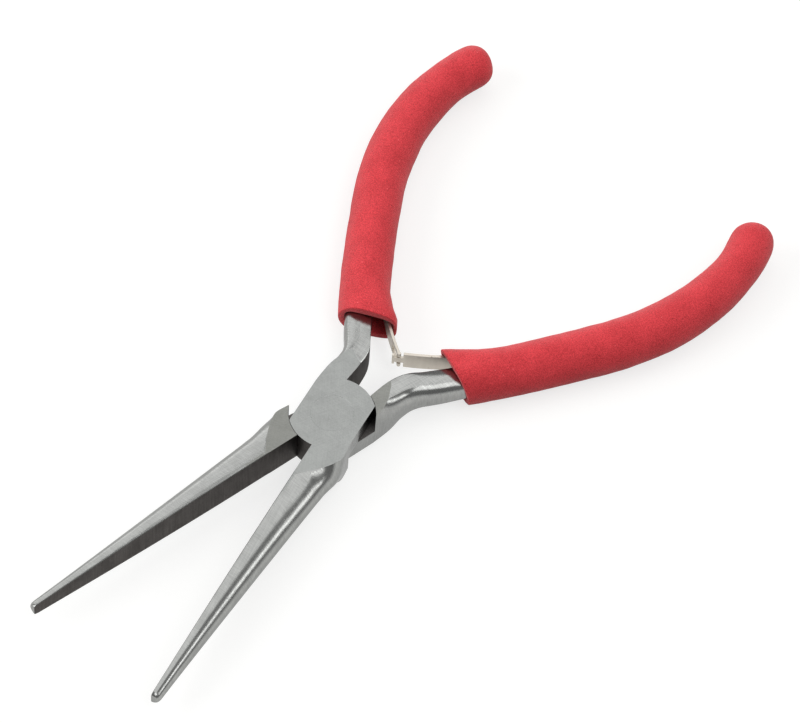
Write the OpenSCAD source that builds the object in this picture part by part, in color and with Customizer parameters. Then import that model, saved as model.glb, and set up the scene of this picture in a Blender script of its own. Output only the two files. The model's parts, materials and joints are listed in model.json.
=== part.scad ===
// Long-nose pliers with a lap joint, a pair of hooked leaf springs and foam grips.
//
// Each half is drawn closed, in its own frame: the pivot is the Z axis, the jaw points
// along -Y on the +X side, and the handle runs along +Y on the -X side. Z = 0 is there
// the plane where the halves lap. The lower half is the upper one turned over about Y.
// The assembly stands open, with the underside of the joint on Z = 0.

/* [Joint] */
// Thickness of the joint across both halves
joint_t = 6.5; // [5.2:0.1:8]
// Radius of each half's round hub
hub_r = 7.5; // [6.4:0.1:9]
// Width of the hub between its flats
hub_w = 11.5; // [9.6:0.1:13.8]
// Gap between a hub and the curved shoulder round it
shoulder_gap = 0.15; // [0.1:0.05:0.6]
// Gap between the lapped faces
lap_gap = 0.04; // [0.02:0.01:0.1]
// Angle between the jaws at rest, sprung open
open_angle = 23.6; // [19:0.1:28]

/* [Rivet] */
// Diameter of the rivet's shank
rivet_d = 4.6; // [3.8:0.1:5.6]
// Diameter of its flush heads at the ground faces
rivet_head_d = 7.5; // [6.2:0.1:9]
// Depth of the countersinks that hold the heads
rivet_head_h = 1; // [0.8:0.1:1.4]
// Radial gap round the rivet
rivet_gap = 0.03; // [0.02:0.01:0.08]

/* [Jaws] */
// Pivot to jaw tip
jaw_len = 63; // [52:1:76]
// Depth of a jaw behind its gripping face at the root
jaw_root_w = 5.6; // [4.6:0.1:6.8]
// Depth of a jaw behind its gripping face at the tip
jaw_tip_w = 1.5; // [1.2:0.1:1.9]
// Height of a jaw at the tip
jaw_tip_h = 2.6; // [2.1:0.1:3.2]
// Length of the rounding at the tip
jaw_tip_round = 1; // [0.8:0.1:1.3]
// How far the turned shoulder stands out where the jaw meets the hub
jaw_shoulder = 0.9; // [0.7:0.1:1.1]
// Pivot to the top of that shoulder
jaw_shoulder_at = 9.5; // [9:0.1:11]
// Gap between a gripping face and the middle plane
jaw_relief = 0.04; // [0.02:0.01:0.08]

/* [Handles] */
// Width of the steel at the neck beside the hub
neck_w = 4.2; // [3.5:0.1:5]
// Width of the steel inside the grip
tang_w = 3.9; // [3.3:0.1:4.7]
// Height of the steel inside the grip
tang_h = 4.6; // [3.9:0.1:5.4]
// How much further the steel stands out on its outer side where it enters the grip
tang_swell = 0.9; // [0.7:0.05:1.1]
// How much wider the neck is towards the other handle, before the spring's reach
neck_swell = 0.35; // [0.25:0.05:0.45]
// Width of the steel at its far end
tang_end_w = 3; // [2.5:0.1:3.6]
// Sideways place of the neck's middle line
neck_x = -3.6; // [-4.2:0.05:-3.2]
// Distance of the neck's start from the pivot
neck_y = 5; // [4.2:0.1:5.8]
// Heading of the neck, away from the middle plane, in degrees
neck_heading = -4; // [-5:0.5:-3]
// Length of the straight neck
neck_len = 7.5; // [6.2:0.1:9]
// Length of the bend that spreads the handles
spread_len = 5; // [4.2:0.1:6]
// Turn of that bend, in degrees
spread_turn = 28; // [23:1:33]
// Length of the nearly straight reach behind it
reach_len = 32; // [26:1:39]
// Turn of the reach back towards the other handle, in degrees
reach_turn = 4; // [3:0.5:5]
// Length of the first of three bends that bring the handle's end back in
palm_len = 14.5; // [12:0.5:17.5]
// Turn of that bend, in degrees
palm_turn = 15; // [12:1:18]
// Length of the second
heel_len = 13; // [10.5:0.5:16]
// Turn of the second, in degrees
heel_turn = 17; // [14:1:21]
// Length of the last, up to the end of the grip
end_len = 14; // [11.5:0.5:17]
// Turn of the last, in degrees
end_turn = 23; // [19:1:28]

/* [Grips] */
// Diameter of the foam
grip_d = 9.1; // [7.6:0.1:10.9]
// Diameter of the foam near its far end
grip_end_d = 8.2; // [7.6:0.1:9]
// Distance along the handle to the mouth
mouth_at = 19; // [16:0.5:22]
// How much nearer to the joint the upper grip's mouth lies
upper_grip_ahead = 1.2; // [0:0.1:1.5]
// Heading of the mouth's face, in degrees
mouth_heading = 12; // [8:1:16]
// How far the mouth is stretched over the spring
mouth_stretch = 1.5; // [1.2:0.1:1.8]
// How much the foam is drawn in on the outer side of the mouth
mouth_pinch = 0.4; // [0.2:0.05:0.5]
// Length of the stretched part behind the mouth
mouth_flare = 10; // [8:0.5:12]
// Length of the rounding at the far end
grip_end_round = 3; // [2.5:0.1:3.6]
// Thickness of the foam past the end of the steel
foam_end = 4; // [3.2:0.1:5]
// Least thickness of the foam over the spring
foam_wall = 0.5; // [0.4:0.05:0.6]
// Gap between the foam and the steel
grip_gap = 0.15; // [0.12:0.01:0.2]

/* [Springs] */
// Width of each leaf
leaf_w = 3.6; // [3:0.1:4.3]
// Thickness of each leaf
leaf_t = 0.5; // [0.4:0.05:0.6]
// Distance along the handle to the line where a leaf starts to bend
leaf_root_at = 25.5; // [21.5:0.5:30]
// Length of the clamped foot of a leaf
foot_len = 14; // [12:0.5:15]
// How far each leaf is bowed, in degrees
leaf_bow = 16; // [12:1:18]
// How far a leaf stands off the steel at the line where it starts to bend
leaf_lift = 0.7; // [0.6:0.05:0.8]
// Pivot to the place where the leaves hook together, at rest
meet_y = 18.2; // [16:0.1:21]
// Width of the slot in the forked leaf
slot_w = 1.9; // [1.7:0.1:2.1]
// Length of the fork's prongs
fork_len = 3; // [2.5:0.1:4]
// Width of the tongue that passes through the slot
tongue_w = 1.3; // [1.1:0.1:1.4]
// Width of the head that keeps the tongue in
tongue_head_w = 2.4; // [2.3:0.1:2.9]
// Gap from the hooking line to the tongue's shoulders, and to its head
hook_reach = 0.8; // [0.75:0.05:1]
// Radius of the rolled ends of the fork's prongs
prong_roll_r = 0.35; // [0.3:0.05:0.35]
// Diameter of the small rivets that hold the feet
pin_d = 1.8; // [1.5:0.1:2.1]
// Diameter of their heads
pin_head_d = 3; // [2.5:0.1:3.4]

/* [Hidden] */
$fn = 96;
half_t = joint_t / 2;
open_half = open_angle / 2;
step = 0.5;
steel = [0.70, 0.70, 0.68];
nickel = [0.78, 0.76, 0.73];
foam = [0.83, 0.22, 0.25];

// The handle's bends from the neck on, as [length, turn away from the other handle], the
// way a bar is bent on a jig.
bends = [[neck_len, 0], [spread_len, spread_turn], [reach_len, -reach_turn],
         [palm_len, -palm_turn], [heel_len, -heel_turn], [end_len, -end_turn]];
bend_starts = [for (i = 0, s = 0; i < len(bends); s = s + bends[i][0], i = i + 1) s];
handle_len = bend_starts[len(bends) - 1] + bends[len(bends) - 1][0];
tang_len = handle_len - foam_end;

// ---- the handle's middle line ----
function clamp01(v) = min(1, max(0, v));
function total(v, i = 0) = i >= len(v) ? 0 : v[i] + total(v, i + 1);
function heading(s) = neck_heading
    + total([for (i = [0:len(bends) - 1]) bends[i][1] * clamp01((s - bend_starts[i]) / bends[i][0])]);
function along(h) = [-sin(h), cos(h)];
function outward(h) = [-cos(h), -sin(h)];
middle_line = [for (i = 0, p = [neck_x, neck_y]; i <= handle_len / step;
                    p = p + step * along(heading((i + 0.5) * step)), i = i + 1) p];
function middle(s) = let (i = min(len(middle_line) - 2, max(0, floor(s / step))), f = s / step - i)
    middle_line[i] * (1 - f) + middle_line[i + 1] * f;
// A point beside the middle line: positive is away from the other handle.
function beside(s, off) = middle(s) + off * outward(heading(s));

// ---- sections ----
function signed_pow(v, e) = sign(v) * pow(abs(v), e);
// A closed ring across the handle: a is the half width on each side, [inner, outer],
// b the half height, e how square its corners are on each side (2 is an ellipse).
function handle_ring(s, a, b, e, n) = [for (i = [0:n - 1])
    let (k = cos(360 * i / n) > 0 ? e[1] : e[0],
         c = signed_pow(cos(360 * i / n), 2 / k), v = signed_pow(sin(360 * i / n), 2 / k),
         p = beside(s, c > 0 ? a[1] * c : a[0] * c))
    [p.x, p.y, b * v]];
module loft(rings) {
    n = len(rings[0]);
    m = len(rings);
    polyhedron(
        points = [for (r = rings) each r],
        faces = concat(
            [[for (i = [0:n - 1]) i]],
            [[for (i = [n - 1:-1:0]) (m - 1) * n + i]],
            [for (k = [0:m - 2], i = [0:n - 1]) each
                let (j = (i + 1) % n, a = k * n, b = a + n) [[a + i, b + i, a + j], [a + j, b + i, b + j]]]),
        convexity = 8);
}

// ---- the steel ----
// The neck leaves the hub flush with its flat.
function tang_half_w(s) = lookup(s, [[-1.5, hub_w / 2 + neck_x - 0.15],
    [0, hub_w / 2 + neck_x - 0.02], [neck_len - 1, neck_w / 2],
    [leaf_root_at - 12, tang_w / 2], [leaf_root_at + foot_len + 1, tang_w / 2], [tang_len, tang_end_w / 2]]);
function tang_inner_w(s) = tang_half_w(s)
    + neck_swell * lookup(s, [[0, 0], [neck_len - 2, 1], [neck_len + 2, 1], [neck_len + 5, 0]]);
function tang_outer_w(s) = tang_half_w(s)
    + tang_swell * lookup(s, [[neck_len, 0], [mouth_at - 5, 1], [mouth_at + 2, 1], [leaf_root_at, 0]]);
// The blank stands above the ground faces beside the hub and dips under them at the neck.
function tang_half_h(s) = lookup(s, [[0, half_t * 2], [neck_len - 3, half_t * 1.25],
    [neck_len + 0.5, half_t], [neck_len + 5, half_t * 0.86], [mouth_at + 3, tang_h / 2],
    [tang_len, tang_h / 2 - 0.4]]);
function tang_ring(s) = handle_ring(s, [tang_inner_w(s), tang_outer_w(s)], tang_half_h(s), [3, 3], 20);
module handle_blank() {
    loft([for (s = concat([-1.5], [for (s = [0:1:mouth_at + 3]) s])) tang_ring(s)]);
    loft([for (s = concat([mouth_at + 2], [for (s = [mouth_at + 5:3:tang_len - 1]) s], [tang_len]))
        tang_ring(s)]);
}

jaw_taper = jaw_len - jaw_shoulder_at - 5;
function jaw_depth(d) = let (u = clamp01((jaw_len - d) / jaw_taper))
    jaw_tip_w + (jaw_root_w - jaw_tip_w) * pow(u, 1.1)
    + jaw_shoulder * lookup(d, [[4, 0.1], [jaw_shoulder_at - 3.5, 0.4], [jaw_shoulder_at, 1],
                                [jaw_shoulder_at + 1.5, 0.75], [jaw_shoulder_at + 3, 0.25],
                                [jaw_shoulder_at + 5, 0]]);
function jaw_half_h(d) = let (u = clamp01((jaw_len - d) / jaw_taper))
    jaw_tip_h / 2 + (half_t - jaw_tip_h / 2) * sin(90 * u)
    + half_t * pow(clamp01((jaw_shoulder_at + 4.5 - d) / 5.5), 2);
function tip_scale(d) = let (r = clamp01((d - jaw_len + jaw_tip_round) / jaw_tip_round))
    0.7 + 0.3 * sqrt(1 - r * r);
function jaw_ring(d, n) = [for (i = [0:n])
    let (a = 180 * i / n - 90)
    [jaw_relief + jaw_depth(d) * tip_scale(d) * cos(a), -d, jaw_half_h(d) * tip_scale(d) * sin(a)]];
module jaw_blank() {
    stations = concat([for (d = [4:1:jaw_shoulder_at + 6]) d],
                      [for (d = [jaw_shoulder_at + 9:4:jaw_len - 5]) d],
                      [for (r = [1.8, 1, 0.75, 0.5, 0.25, 0.08, 0]) jaw_len - r * jaw_tip_round]);
    loft([for (d = stations) jaw_ring(d, 24)]);
}

module hub_plate() {
    translate([0, 0, lap_gap / 2]) linear_extrude(half_t - lap_gap / 2) intersection() {
        circle(hub_r);
        square([hub_w, 4 * hub_r], center = true);
    }
}

module rivet_shape(gap) {
    r = rivet_d / 2 + gap;
    head = rivet_head_d / 2 + gap;
    rotate_extrude() polygon([[0, -half_t], [head, -half_t], [r, -half_t + rivet_head_h],
                              [r, half_t - rivet_head_h], [head, half_t], [0, half_t]]);
}

module half() {
    difference() {
        union() {
            hub_plate();
            difference() {
                intersection() {
                    union() {
                        jaw_blank();
                        handle_blank();
                    }
                    cube([6 * hub_w, 3 * (jaw_len + handle_len), joint_t], center = true);
                }
                translate([0, 0, -half_t - 1])
                    cylinder(h = half_t + 1 + lap_gap / 2, r = hub_r + shoulder_gap);
            }
        }
        rivet_shape(rivet_gap);
        foot_pin(rivet_gap);
    }
}

// ---- the grips ----
root_cavity = leaf_t + 0.95;
// m is the distance along the handle to that grip's mouth.
function mouth_part(s, m) = clamp01((m + mouth_flare - s) / mouth_flare);
function grip_scale(s) = let (r = clamp01((s - handle_len + grip_end_round) / grip_end_round))
    0.3 + 0.7 * sqrt(1 - r * r);
foot_end = leaf_root_at + foot_len;
function bore_inner(s) = tang_w / 2 + lookup(s, [[mouth_at - 4, 4.2], [mouth_at, 3.3],
    [leaf_root_at - 2, 2.3], [leaf_root_at, root_cavity + leaf_lift], [pin_at - 2, root_cavity],
    [foot_end + 2, root_cavity], [foot_end + 4, grip_gap], [handle_len, grip_gap]]);
function grip_r(s) = lookup(s, [[handle_len - 30, grip_d / 2], [handle_len - 8, grip_end_d / 2]]);
function grip_ring(s, m) = handle_ring(s,
    [max(grip_r(s) + mouth_stretch * pow(mouth_part(s, m), 1.6), bore_inner(s) + foam_wall),
     grip_r(s) - mouth_pinch * mouth_part(s, m)] * grip_scale(s),
    grip_r(s) * grip_scale(s), [2 + mouth_part(s, m), 2], 28);
function bore_ring(s, m) = handle_ring(s,
    [max(bore_inner(s), tang_inner_w(s) + grip_gap), tang_outer_w(s) + grip_gap],
    max(tang_half_h(s), s < foot_end + 2 ? leaf_w / 2 + 0.4 : 0) + grip_gap + 0.5 * mouth_part(s, m),
    [4, 4], 20);
module grip(m) {
    difference() {
        loft([for (s = concat([for (s = [m - 2.5:1.5:m + mouth_flare]) s],
                              [for (s = [m + mouth_flare + 2:3:handle_len - 4]) s],
                              [for (r = [1, 0.8, 0.6, 0.4, 0.2, 0.06, 0]) handle_len - r * grip_end_round]))
            grip_ring(s, m)]);
        loft([for (s = concat([m - 4, m - 2, m, m + 2],
                              [for (s = [m + 5:3:tang_len - 1]) s], [tang_len, tang_len + 0.5]))
            bore_ring(s, m)]);
        mouth_cut(m);
    }
}
module mouth_cut(m) {
    p = middle(m);
    translate([p.x, p.y, 0]) rotate([0, 0, mouth_heading])
        translate([-20, -30, -20]) cube([40, 30, 40]);
}

// ---- the leaf springs ----
leaf_off = -(tang_w / 2 + 0.05 + leaf_t / 2);
leaf_root = beside(leaf_root_at, leaf_off - leaf_lift);
leaf_meet = meet_y * [sin(open_half), cos(open_half)];
// Points on a round arc from p to q that turns by the angle given.
function arc(p, q, turn, n) = let (
        chord = q - p, first = atan2(chord.y, chord.x) - turn / 2,
        bit = norm(chord) * sin(turn / 2 / n) / sin(turn / 2))
    [for (i = 0, r = p; i <= n; r = r + bit * [cos(first + turn * (i + 0.5) / n),
                                               sin(first + turn * (i + 0.5) / n)], i = i + 1) r];
function side_of(v, i) = let (a = v[max(0, i - 1)], b = v[min(len(v) - 1, i + 1)], t = (b - a) / norm(b - a))
    [-t.y, t.x];
// A strip of the leaf's thickness along a line of points.
module strip(v, w) {
    linear_extrude(w, center = true) polygon(concat(
        [for (i = [0:len(v) - 1]) v[i] + side_of(v, i) * leaf_t / 2],
        [for (i = [len(v) - 1:-1:0]) v[i] - side_of(v, i) * leaf_t / 2]));
}
blade_line = arc(leaf_root, leaf_meet, leaf_bow, 12);
hook_heading = let (n = len(blade_line), t = blade_line[n - 1] - blade_line[n - 2]) atan2(t.y, t.x);
module at_hook() {
    translate([leaf_meet.x, leaf_meet.y, 0]) rotate([0, 0, hook_heading]) children();
}
module blade_root() {
    translate([leaf_root.x, leaf_root.y, -leaf_w / 2]) cylinder(h = leaf_w, d = leaf_t, $fn = 32);
}
module fork_blade() {
    difference() {
        union() {
            strip(blade_line, leaf_w);
            blade_root();
            at_hook() translate([0, 0, -leaf_w / 2]) cylinder(h = leaf_w, r = prong_roll_r, $fn = 32);
        }
        at_hook() translate([1 - fork_len / 2, 0, 0]) cube([fork_len + 2, 4, slot_w], center = true);
    }
}
module tongue_blade() {
    difference() {
        union() {
            strip(blade_line, leaf_w);
            blade_root();
        }
        at_hook() translate([2 - hook_reach, 0, 0]) cube([4, 4, leaf_w + 2], center = true);
    }
    at_hook() {
        translate([-hook_reach - 0.2, -leaf_t / 2, -tongue_w / 2])
            cube([2 * hook_reach + 0.4, leaf_t, tongue_w]);
        translate([hook_reach, -leaf_t / 2, -tongue_head_w / 2]) cube([0.4, leaf_t, tongue_head_w]);
    }
}
foot_gap = leaf_t / 2 + 0.1;
pin_at = leaf_root_at + foot_len * 0.7;
// The foot lies flat under its rivet and curves off the steel towards the bending line.
function foot_lift(s) = leaf_lift * pow(clamp01((pin_at - 2 - s) / (pin_at - 2 - leaf_root_at)), 2);
module leaf_foot() {
    difference() {
        strip([for (i = [0:10]) let (s = leaf_root_at + foot_gap + (foot_len - foot_gap) * i / 10)
            beside(s, leaf_off - foot_lift(s))], leaf_w);
        foot_pin(rivet_gap);
    }
}
module foot_pin(gap) {
    p = beside(pin_at, 0);
    translate([p.x, p.y, 0]) rotate([0, 90, heading(pin_at)])
        translate([0, 0, -0.6 - gap])
            cylinder(h = tang_w / 2 + leaf_t + 0.85 + gap, d = pin_d + 2 * gap, $fn = 32);
}
module foot_rivet() {
    p = beside(pin_at, leaf_off - leaf_t / 2 - 0.02);
    foot_pin(0);
    translate([p.x, p.y, 0]) rotate([0, 90, heading(pin_at)])
        cylinder(h = 0.5, d1 = pin_head_d, d2 = pin_head_d - 0.8, $fn = 32);
}

// ---- placing ----
module upper() { translate([0, 0, half_t]) rotate([0, 0, open_half]) children(); }
module lower() { translate([0, 0, half_t]) rotate([0, 0, -open_half]) rotate([0, 180, 0]) children(); }

module upper_half() { color(steel) upper() half(); }
module lower_half() { color(steel) lower() half(); }
module pivot_rivet() { color(steel) upper() rivet_shape(0); }
module upper_grip() { color(foam) upper() grip(mouth_at - upper_grip_ahead); }
module lower_grip() { color(foam) lower() grip(mouth_at); }
module fork_leaf() { color(nickel) upper() fork_blade(); }
module fork_leaf_foot() { color(nickel) upper() leaf_foot(); }
module tongue_leaf() { color(nickel) lower() tongue_blade(); }
module tongue_leaf_foot() { color(nickel) lower() leaf_foot(); }
module upper_foot_rivet() { color(steel) upper() foot_rivet(); }
module lower_foot_rivet() { color(steel) lower() foot_rivet(); }

upper_half();
lower_half();
pivot_rivet();
upper_grip();
lower_grip();
fork_leaf();
fork_leaf_foot();
tongue_leaf();
tongue_leaf_foot();
upper_foot_rivet();
lower_foot_rivet();
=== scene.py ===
"""Long-nose pliers with a lap joint, a pair of hooked leaf springs and foam grips.

Each half is drawn closed and in millimetres, in its own frame: the pivot is the Z axis,
the jaw points along -Y on the +X side, and the handle runs along +Y on the -X side.
Z = 0 is there the plane where the halves lap. Placing a half opens it to its rest angle,
and the lower half is the upper one turned over about Y.
"""

import json
import math

import bpy
from mathutils import Matrix, Vector, noise


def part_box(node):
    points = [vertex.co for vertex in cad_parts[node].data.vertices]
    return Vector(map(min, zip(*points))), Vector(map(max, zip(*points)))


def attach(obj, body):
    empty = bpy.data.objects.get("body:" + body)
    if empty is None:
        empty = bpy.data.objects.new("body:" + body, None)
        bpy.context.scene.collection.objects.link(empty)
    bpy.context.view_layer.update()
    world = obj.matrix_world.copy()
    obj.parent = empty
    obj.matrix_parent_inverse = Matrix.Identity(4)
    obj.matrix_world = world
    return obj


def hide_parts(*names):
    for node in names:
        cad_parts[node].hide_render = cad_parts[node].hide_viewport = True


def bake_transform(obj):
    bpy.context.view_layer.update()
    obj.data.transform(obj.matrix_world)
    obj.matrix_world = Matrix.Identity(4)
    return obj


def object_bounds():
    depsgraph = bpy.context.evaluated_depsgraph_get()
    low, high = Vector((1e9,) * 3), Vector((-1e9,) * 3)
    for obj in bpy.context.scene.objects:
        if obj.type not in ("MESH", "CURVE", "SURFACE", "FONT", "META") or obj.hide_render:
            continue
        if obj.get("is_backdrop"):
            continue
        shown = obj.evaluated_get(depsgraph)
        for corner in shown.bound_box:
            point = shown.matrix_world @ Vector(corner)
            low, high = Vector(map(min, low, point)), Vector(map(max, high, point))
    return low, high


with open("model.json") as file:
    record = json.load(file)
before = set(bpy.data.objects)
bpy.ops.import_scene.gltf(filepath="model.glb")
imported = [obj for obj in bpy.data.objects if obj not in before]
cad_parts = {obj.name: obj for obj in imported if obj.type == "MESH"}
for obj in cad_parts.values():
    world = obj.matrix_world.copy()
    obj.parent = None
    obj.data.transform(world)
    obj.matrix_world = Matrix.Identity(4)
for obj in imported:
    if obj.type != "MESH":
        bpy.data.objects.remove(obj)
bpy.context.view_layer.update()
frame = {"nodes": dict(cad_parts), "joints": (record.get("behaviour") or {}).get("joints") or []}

bl_info = {
    "name": "Long-Nose Pliers",
    "version": (1, 0, 0),
    "blender": (4, 5, 0),
    "location": "3D View > Sidebar > Pliers",
    "description": "Long-nose pliers with a lap joint, hooked leaf springs and foam grips",
    "category": "Add Mesh",
}

PIVOT = next(joint for joint in frame["joints"] if joint["name"] == "pivot")
OPEN_ANGLE = math.radians(max(PIVOT["range_deg"]))
# Half the thickness of the joint, in millimetres: the rivet is ground flush with both faces.
HALF_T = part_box("pivot_rivet")[1].z * 500


# ---- sizes and colours that a user would change ----
def length(name, description, size):
    """A length given in millimetres and kept in metres."""
    return bpy.props.FloatProperty(
        name=name, description=description, default=size / 1000, unit="LENGTH", precision=5
    )


def turn(name, description, degrees):
    """An angle given in degrees and kept in radians."""
    return bpy.props.FloatProperty(
        name=name, description=description, default=math.radians(degrees), subtype="ANGLE"
    )


def share(name, description, value):
    """A share from 0 to 1, such as a roughness."""
    return bpy.props.FloatProperty(
        name=name, description=description, default=value, min=0, max=1, subtype="FACTOR"
    )


def brightness(name, description, value):
    """How bright a light's face or the paper is."""
    return bpy.props.FloatProperty(name=name, description=description, default=value, min=0)


def linear(hex_code):
    """An sRGB hex colour as linear RGB."""
    parts = [int(hex_code[i:i + 2], 16) / 255 for i in (1, 3, 5)]
    return [p / 12.92 if p <= 0.04045 else ((p + 0.055) / 1.055) ** 2.4 for p in parts]


def colour(name, description, hex_code):
    """A colour given as sRGB hex."""
    return bpy.props.FloatVectorProperty(
        name=name, description=description, default=linear(hex_code), min=0, max=1, subtype="COLOR"
    )


class JointSizes(bpy.types.PropertyGroup):
    hub_r: length("Hub radius", "Radius of each half's round hub", 7.5)
    hub_w: length("Hub width", "Width of the hub between its flats", 11.5)
    shoulder_gap: length("Shoulder gap", "Gap between a hub and the curved shoulder round it", 0.08)
    lap_gap: length("Lap gap", "Gap between the lapped faces", 0.04)
    rivet_d: length("Rivet diameter", "Diameter of the rivet's shank", 4.6)
    rivet_head_d: length("Rivet head", "Diameter of its flush heads", 7.5)
    rivet_head_h: length("Countersink", "Depth of the countersinks", 1)
    rivet_gap: length("Rivet gap", "Radial gap round the rivet", 0.03)
    ring_gap: length("Ring gap", "Gap that still shows round a head ground flush", 0.006)
    edge: length("Broken edge", "How far a stone has broken the sharp edges", 0.09)


class JawSizes(bpy.types.PropertyGroup):
    jaw_len: length("Jaw length", "Pivot to jaw tip", 63)
    root_w: length("Root depth", "Depth of a jaw behind its gripping face at the root", 5.6)
    tip_w: length("Tip depth", "Depth of a jaw behind its gripping face at the tip", 1.5)
    tip_h: length("Tip height", "Height of a jaw at the tip", 2.6)
    tip_round: length("Tip rounding", "Length of the rounding at the tip", 1)
    shoulder: length("Shoulder", "How far the turned shoulder stands out at the hub", 0.9)
    shoulder_at: length("Shoulder place", "Pivot to the top of that shoulder", 9.5)
    relief: length("Relief", "Gap between a gripping face and the middle plane", 0.04)
    chamfer: length("Chamfer", "Chamfer along the edges of a gripping face", 0.1)


class HandleSizes(bpy.types.PropertyGroup):
    root_w: length("Root width", "Width of the neck where it leaves the hub's flat", 4.26)
    neck_w: length("Neck width", "Width of the steel at the neck beside the hub", 4.2)
    tang_w: length("Tang width", "Width of the steel inside the grip", 3.9)
    tang_h: length("Tang height", "Height of the steel inside the grip", 4.6)
    tang_swell: length("Tang swell", "How much further the outer side stands out at the mouth", 0.9)
    neck_swell: length("Neck swell", "How much wider the neck is towards the other handle", 0.35)
    tang_end_w: length("Tang end width", "Width of the steel at its far end", 3)
    neck_x: length("Neck sideways", "Sideways place of the neck's middle line", -3.6)
    neck_y: length("Neck start", "Distance of the neck's start from the pivot", 5)
    neck_heading: turn("Neck heading", "Heading of the neck, away from the middle plane", -4)
    neck_len: length("Neck length", "Length of the straight neck", 7.5)
    spread_len: length("Spread length", "Length of the bend that spreads the handles", 5)
    spread_turn: turn("Spread turn", "Turn of that bend", 28)
    reach_len: length("Reach length", "Length of the nearly straight reach", 32)
    reach_turn: turn("Reach turn", "Turn of the reach towards the other handle", 4)
    palm_len: length("Palm length", "Length of the first bend that brings the end back in", 14.5)
    palm_turn: turn("Palm turn", "Turn of that bend", 15)
    heel_len: length("Heel length", "Length of the second", 13)
    heel_turn: turn("Heel turn", "Turn of the second", 17)
    end_len: length("End length", "Length of the last, up to the end of the grip", 14)
    end_turn: turn("End turn", "Turn of the last", 23)


class GripSizes(bpy.types.PropertyGroup):
    grip_d: length("Grip diameter", "Diameter of the foam", 9.1)
    grip_end_d: length("Grip end diameter", "Diameter of the foam near its far end", 8.2)
    mouth_at: length("Mouth", "Distance along the handle to the mouth", 19)
    ahead: length("Upper grip ahead", "How much nearer to the joint the upper grip lies", 1.3)
    mouth_heading: turn("Mouth heading", "Heading of the mouth's face", 12)
    upper_stretch: length("Upper stretch", "How far the upper mouth is stretched", 2)
    lower_stretch: length("Lower stretch", "How far the lower mouth is stretched", 1)
    forward: length("Mouth forward", "How much nearer to the joint the leaning mouths reach", 0.5)
    upper_lean: turn("Upper lean", "How far the top of the upper mouth leans to the joint", 7)
    lower_lean: turn("Lower lean", "How far the top of the lower mouth leans to the joint", 10.5)
    pinch: length("Mouth pinch", "How much the outer side of the mouth is drawn in", 0.4)
    flare: length("Mouth flare", "Length of the stretched part behind the mouth", 10)
    end_round: length("End rounding", "Length of the rounding at the far end", 4)
    end_foam: length("End foam", "Thickness of the foam past the end of the steel", 4)
    wall: length("Least wall", "Least thickness of the foam over the spring", 0.5)
    gap: length("Bore gap", "Gap between the foam and the steel", 0.08)
    lip: length("Lip rounding", "Rounding of the cut lip", 0.2)
    lumps: length("Lumps", "How far the moulded skin wanders from a true round", 0.11)


class SpringSizes(bpy.types.PropertyGroup):
    leaf_w: length("Leaf width", "Width of each leaf", 3.6)
    leaf_t: length("Leaf thickness", "Thickness of each leaf", 0.5)
    seat: length("Seat", "Gap between the foot of a leaf and the steel", 0.05)
    root_at: length("Bending line", "Distance along the handle to the bending line", 25.5)
    foot_len: length("Foot length", "Length of the clamped foot of a leaf", 14)
    bow: turn("Bow", "How far each leaf is bowed", 16)
    lift: length("Lift", "How far a leaf stands off the steel at its bending line", 0.7)
    meet_y: length("Meeting place", "Pivot to the place where the leaves hook together", 18.2)
    slot_w: length("Slot width", "Width of the slot in the forked leaf", 1.9)
    fork_len: length("Prong length", "Length of the fork's prongs", 3)
    tongue_w: length("Tongue width", "Width of the tongue that passes through the slot", 1.3)
    head_w: length("Tongue head", "Width of the head that keeps the tongue in", 2.4)
    head_len: length("Head length", "Length of that head", 0.4)
    reach: length("Hook reach", "Gap from the hooking line to the tongue's shoulders", 0.8)
    roll_r: length("Prong roll", "Radius of the rolled ends of the prongs", 0.35)
    pin_d: length("Foot pin", "Diameter of the small rivets that hold the feet", 1.8)
    pin_gap: length("Foot pin gap", "Radial gap round them", 0.03)


class Finishes(bpy.types.PropertyGroup):
    ground: colour("Ground steel", "Flat ground faces", "#a3a5a3")
    satin: colour("Satin steel", "Belt-finished jaws and handles", "#9fa09e")
    # The milled colour is near black as painted shade: it stands in for the shade and dark
    # reflection on the inner, gripping and lapped faces.
    milled: colour("Milled steel", "Dark inner faces", "#615e5c")
    nickel: colour("Nickel", "Plated spring strip", "#cec7bc")
    foam: colour("Foam", "Grips", "#ea444c")
    pore_shade: colour("Foam pores", "Shaded pores of the foam", "#b3222a")
    floor: colour("Floor", "Paper under the tool", "#a8a8a6")
    ground_rough: share("Ground roughness", "Roughness of the ground faces", 0.46)
    satin_rough: share("Satin roughness", "Roughness of the jaws and handles", 0.21)
    milled_rough: share("Milled roughness", "Roughness of the inner faces", 0.42)
    nickel_rough: share("Nickel roughness", "Roughness of the plating", 0.4)
    foam_rough: share("Foam roughness", "Roughness of the foam", 0.78)


class StageSettings(bpy.types.PropertyGroup):
    azimuth: turn("Azimuth", "Camera's place round the tool", 36.14)
    elevation: turn("Elevation", "Camera's height above the floor", 54.288)
    roll: turn("Roll", "Camera's roll", 4.066)
    distance: length("Distance", "Camera to the point it looks at", 744)
    lens: bpy.props.FloatProperty(
        name="Lens", description="Focal length", default=192.24, unit="CAMERA"
    )
    look_x: length("Look X", "Sideways place of the point looked at", 0.495)
    look_y: length("Look Y", "Lengthways place of the point looked at", 17.93)
    key: brightness("Key", "Brightness of the top light", 1.28)
    strip: brightness("Strip", "Brightness of the strip", 3.0)
    side: brightness("Side", "Brightness of the side light", 1.25)
    front: brightness("Front", "Brightness of the front light", 2.4)
    left: brightness("Left", "Brightness of the left light", 3.1)
    fill: brightness("Fill", "Brightness all round", 0.3)
    lift: brightness("Lift", "How far the floor is lifted", 0.71)


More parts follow.
